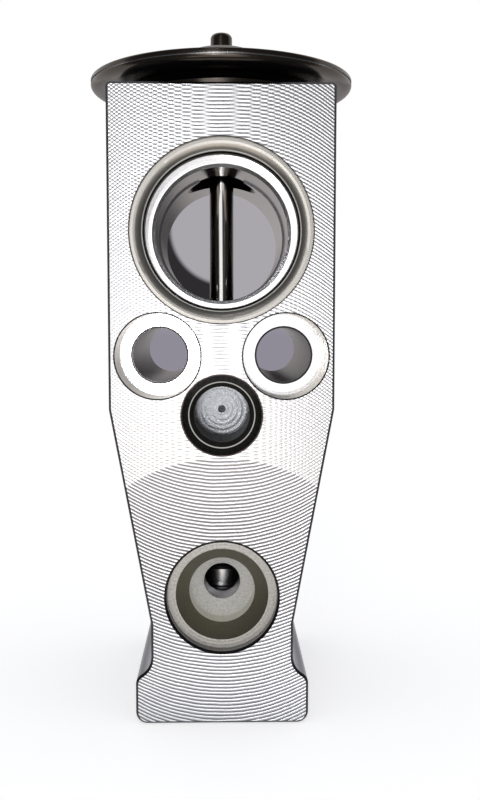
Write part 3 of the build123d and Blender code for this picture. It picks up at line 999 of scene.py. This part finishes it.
# the card's dark half: from where it begins to full, from where it ends, and upwards, in mm
CARD_BEGINS = (-10.0, 14.0)
CARD_ENDS = (90.0, 45.0)
CARD_RISES = (25.0, 65.0)
SHEET_PLACE = (-0.012, -0.15, -0.02)
SHEET_SIZE = (0.12, 0.1)


def disc(mesh, radius, place, segments, upright=True):
    """Adds a filled circle to a bmesh, upright along X or lying flat."""
    turn = Matrix.Rotation(math.radians(90), 4, "X") if upright else Matrix.Identity(4)
    bmesh.ops.create_circle(mesh, cap_ends=True, radius=radius, segments=segments,
                            matrix=Matrix.Translation(place) @ turn)


def glow(tree, tone, strength=1.0):
    return put(tree, "ShaderNodeEmission", {"Color": tone, "Strength": strength})


class VALVE_OT_stage(bpy.types.Operator):
    """Set the floor, the white surround, the lamps and the camera"""
    bl_idname = "valve.stage"
    bl_label = "Stage"

    def execute(self, context):
        setting = context.scene.valve_stage
        self.floor(context, setting)
        self.surround(context, setting)
        self.backing(context, setting)
        self.tent(context, setting)
        self.card(context, setting)
        self.sheet(context, setting)
        for name, (place, size, light, lean) in LAMPS.items():
            self.lamp(context, name, place, size, getattr(setting, light),
                      getattr(setting, lean) if lean else 0.0)
        self.camera(context)
        return {"FINISHED"}

    @staticmethod
    def seen_directly(tree):
        """1 for what the lens, a mirror or glass sees, 0 for light that falls on a surface."""
        path = put(tree, "ShaderNodeLightPath").outputs
        seen = maths(tree, "MAXIMUM", path["Is Camera Ray"], path["Is Glossy Ray"])
        return maths(tree, "MAXIMUM", seen, path["Is Transmission Ray"])

    @staticmethod
    def prop(context, name, mesh, material, hidden_from=()):
        """A piece of the stage from a bmesh, left out for the kinds of ray that are named."""
        data = bpy.data.meshes.new(name)
        mesh.to_mesh(data)
        mesh.free()
        data.materials.append(material)
        made = bpy.data.objects.new(name, data)
        context.scene.collection.objects.link(made)
        for ray in hidden_from:
            setattr(made, "visible_" + ray, False)

    def mirrored_prop(self, context, name, mesh, material):
        """A piece of the stage that only metal sees."""
        self.prop(context, name, mesh, material, ("camera", "diffuse", "transmission", "shadow"))

    def floor(self, context, setting):
        mesh = bmesh.new()
        disc(mesh, setting.floor_radius, (0, setting.floor_radius - FLOOR_FRONT, 0), 96,
             upright=False)
        material, tree, _ = new_material("pale_floor")
        matt = put(tree, "ShaderNodeBsdfDiffuse", {"Color": setting.floor_paint})
        seen = maths(tree, "MULTIPLY", self.seen_directly(tree), setting.floor_lift)
        lift = glow(tree, WHITE, seen)
        close_material(tree, put(tree, "ShaderNodeAddShader", {
            0: matt.outputs[0], 1: lift.outputs[0]}))
        self.prop(context, "floor", mesh, material)

    def surround(self, context, setting):
        """White all round, but metal mirrors a soft grey patch straight behind the valve."""
        world = bpy.data.worlds.new("surround")
        world.use_nodes = True
        tree = world.node_tree
        tree.nodes.clear()
        way = put(tree, "ShaderNodeTexCoord").outputs["Generated"]
        near = put(tree, "ShaderNodeVectorMath", {0: way, 1: Vector(PATCH_WAY).normalized()},
                   operation="DOT_PRODUCT").outputs["Value"]
        outside, inside = (math.cos(math.radians(angle)) for angle in PATCH_FADE)
        patch = remap(tree, near, outside, inside, curve="SMOOTHSTEP")
        mirrored = put(tree, "ShaderNodeLightPath").outputs["Is Glossy Ray"]
        behind = maths(tree, "MULTIPLY", patch, mirrored)
        tone = mix(tree, behind, WHITE, setting.card_grey)
        white = put(tree, "ShaderNodeBackground", {"Color": tone, "Strength": 1.0})
        soft = put(tree, "ShaderNodeBackground", {
            "Color": setting.ambient_tint, "Strength": setting.ambient})
        both = put(tree, "ShaderNodeMixShader", {
            0: self.seen_directly(tree), 1: soft.outputs[0], 2: white.outputs[0]})
        put(tree, "ShaderNodeOutputWorld", {"Surface": both.outputs[0]})
        context.scene.world = world

    def backing(self, context, setting):
        """Grey paper just behind the passages' rear mouths, shaded low on the left.

        Its back is clear, so that from behind the passages are open.
        """
        ports = port_axes(context.scene.valve_block)
        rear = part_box("valve_block")[1].y + PAPER_GAP * MM
        mesh = bmesh.new()
        for name, radius in PAPER.items():
            x, z = ports[name]
            disc(mesh, radius * MM, (x * MM, rear, z * MM), 64)
        material, tree, place = new_material("grey_paper")
        level = split(tree, place)[2]
        paper = mix(tree, remap(tree, level, *PAPER_LEVELS), setting.card_low, setting.card_grey)
        inside, outside = [
            remap(tree, axis_distance(tree, place, (x, z)), none, full, curve="SMOOTHSTEP")
            for x, z, full, none in PAPER_SHADE]
        shade = maths(tree, "SUBTRACT", inside, outside, clamp=True)
        tone = mix(tree, shade, paper, setting.card_dark)
        lit = glow(tree, tone)
        clear = put(tree, "ShaderNodeBsdfTransparent")
        back = put(tree, "ShaderNodeNewGeometry").outputs["Backfacing"]
        close_material(tree, put(tree, "ShaderNodeMixShader", {
            0: back, 1: lit.outputs[0], 2: clear.outputs[0]}))
        self.prop(context, "backing", mesh, material,
                  ("diffuse", "glossy", "transmission", "shadow"))

    def tent(self, context, setting):
        """Dark cloth round the front of the valve."""
        mesh = bmesh.new()
        bmesh.ops.create_uvsphere(mesh, u_segments=48, v_segments=24, radius=TENT_RADIUS)
        bmesh.ops.delete(
            mesh, geom=[v for v in mesh.verts if v.co.y > TENT_OPENING], context="VERTS")
        material, tree, _ = new_material("dark_cloth")
        close_material(tree, glow(tree, WHITE, setting.tent_dark))
        self.mirrored_prop(context, "tent", mesh, material)

    def card(self, context, setting):
        """A card behind the valve, pale left and dark right, which shades the passages' walls."""
        mesh = bmesh.new()
        disc(mesh, CARD_RADIUS, CARD_PLACE, 64)
        material, tree, place = new_material("grey_card")
        x, _, z = split(tree, place)
        right = remap(tree, x, *CARD_BEGINS)
        ends = remap(tree, x, *CARD_ENDS)
        above = remap(tree, z, *CARD_RISES)
        dark = maths(tree, "MULTIPLY", maths(tree, "MULTIPLY", right, ends), above)
        close_material(tree, glow(tree, mix(tree, dark, setting.card_pale, setting.card_dark)))
        self.mirrored_prop(context, "card", mesh, material)

    def sheet(self, context, setting):
        """A white sheet under the lens."""
        mesh = bmesh.new()
        shape = Matrix.Translation(SHEET_PLACE) @ Matrix.Diagonal((*SHEET_SIZE, 1, 1))
        bmesh.ops.create_grid(mesh, x_segments=1, y_segments=1, size=0.5, matrix=shape)
        material, tree, _ = new_material("white_sheet")
        close_material(tree, glow(tree, setting.sheet_tint, setting.sheet_light))
        self.mirrored_prop(context, "sheet", mesh, material)

    @staticmethod
    def lamp(context, name, place, size, face_brightness, lean):
        """A soft lamp whose face has this brightness, where white paper is 1.

        Its lean turns it about its line to the valve.
        """
        light = bpy.data.lights.new(name, "AREA")
        light.shape = "RECTANGLE"
        light.size, light.size_y = size
        light.energy = face_brightness * math.pi * size[0] * size[1]
        made = bpy.data.objects.new(name, light)
        made.location = place
        aim = (Vector(LAMP_AIM) - Vector(place)).to_track_quat("-Z", "Y")
        made.rotation_euler = (aim @ Quaternion((0, 0, 1), lean)).to_euler()
        made.visible_camera = False
        context.scene.collection.objects.link(made)

    @staticmethod
    def camera(context):
        lens = bpy.data.cameras.new("camera")
        lens.lens = FOCAL_LENGTH
        lens.sensor_width = SENSOR
        lens.clip_start = 0.005
        lens.clip_end = 20
        camera = bpy.data.objects.new("camera", lens)
        camera.location = CAMERA_PLACE
        camera.rotation_euler = (math.radians(CAMERA_TILT), 0, math.radians(CAMERA_TURN))
        context.scene.collection.objects.link(camera)
        context.scene.camera = camera
        context.scene.view_settings.view_transform = "Standard"


class VALVE_PT_panel(bpy.types.Panel):
    bl_label = "Block expansion valve"
    bl_idname = "VALVE_PT_panel"
    bl_space_type = "VIEW_3D"
    bl_region_type = "UI"
    bl_category = "Valve"

    def draw(self, context):
        for step in STEPS:
            self.layout.operator(step.bl_idname)


STEPS = (VALVE_OT_block, VALVE_OT_head, VALVE_OT_train, VALVE_OT_seals, VALVE_OT_spring,
         VALVE_OT_stage)
SETTINGS = {
    "valve_block": VALVE_PG_block,
    "valve_head": VALVE_PG_head,
    "valve_spring": VALVE_PG_spring,
    "valve_finish": VALVE_PG_finish,
    "valve_stage": VALVE_PG_stage,
}


def register():
    for name, group in SETTINGS.items():
        bpy.utils.register_class(group)
        setattr(bpy.types.Scene, name, bpy.props.PointerProperty(type=group))
    for step in STEPS:
        bpy.utils.register_class(step)
    bpy.utils.register_class(VALVE_PT_panel)


def unregister():
    bpy.utils.unregister_class(VALVE_PT_panel)
    for step in reversed(STEPS):
        bpy.utils.unregister_class(step)
    for name, group in reversed(SETTINGS.items()):
        delattr(bpy.types.Scene, name)
        bpy.utils.unregister_class(group)


def main():
    register()
    for step in STEPS:
        group, name = step.bl_idname.split(".")
        getattr(getattr(bpy.ops, group), name)()


if __name__ == "__main__":
    main()
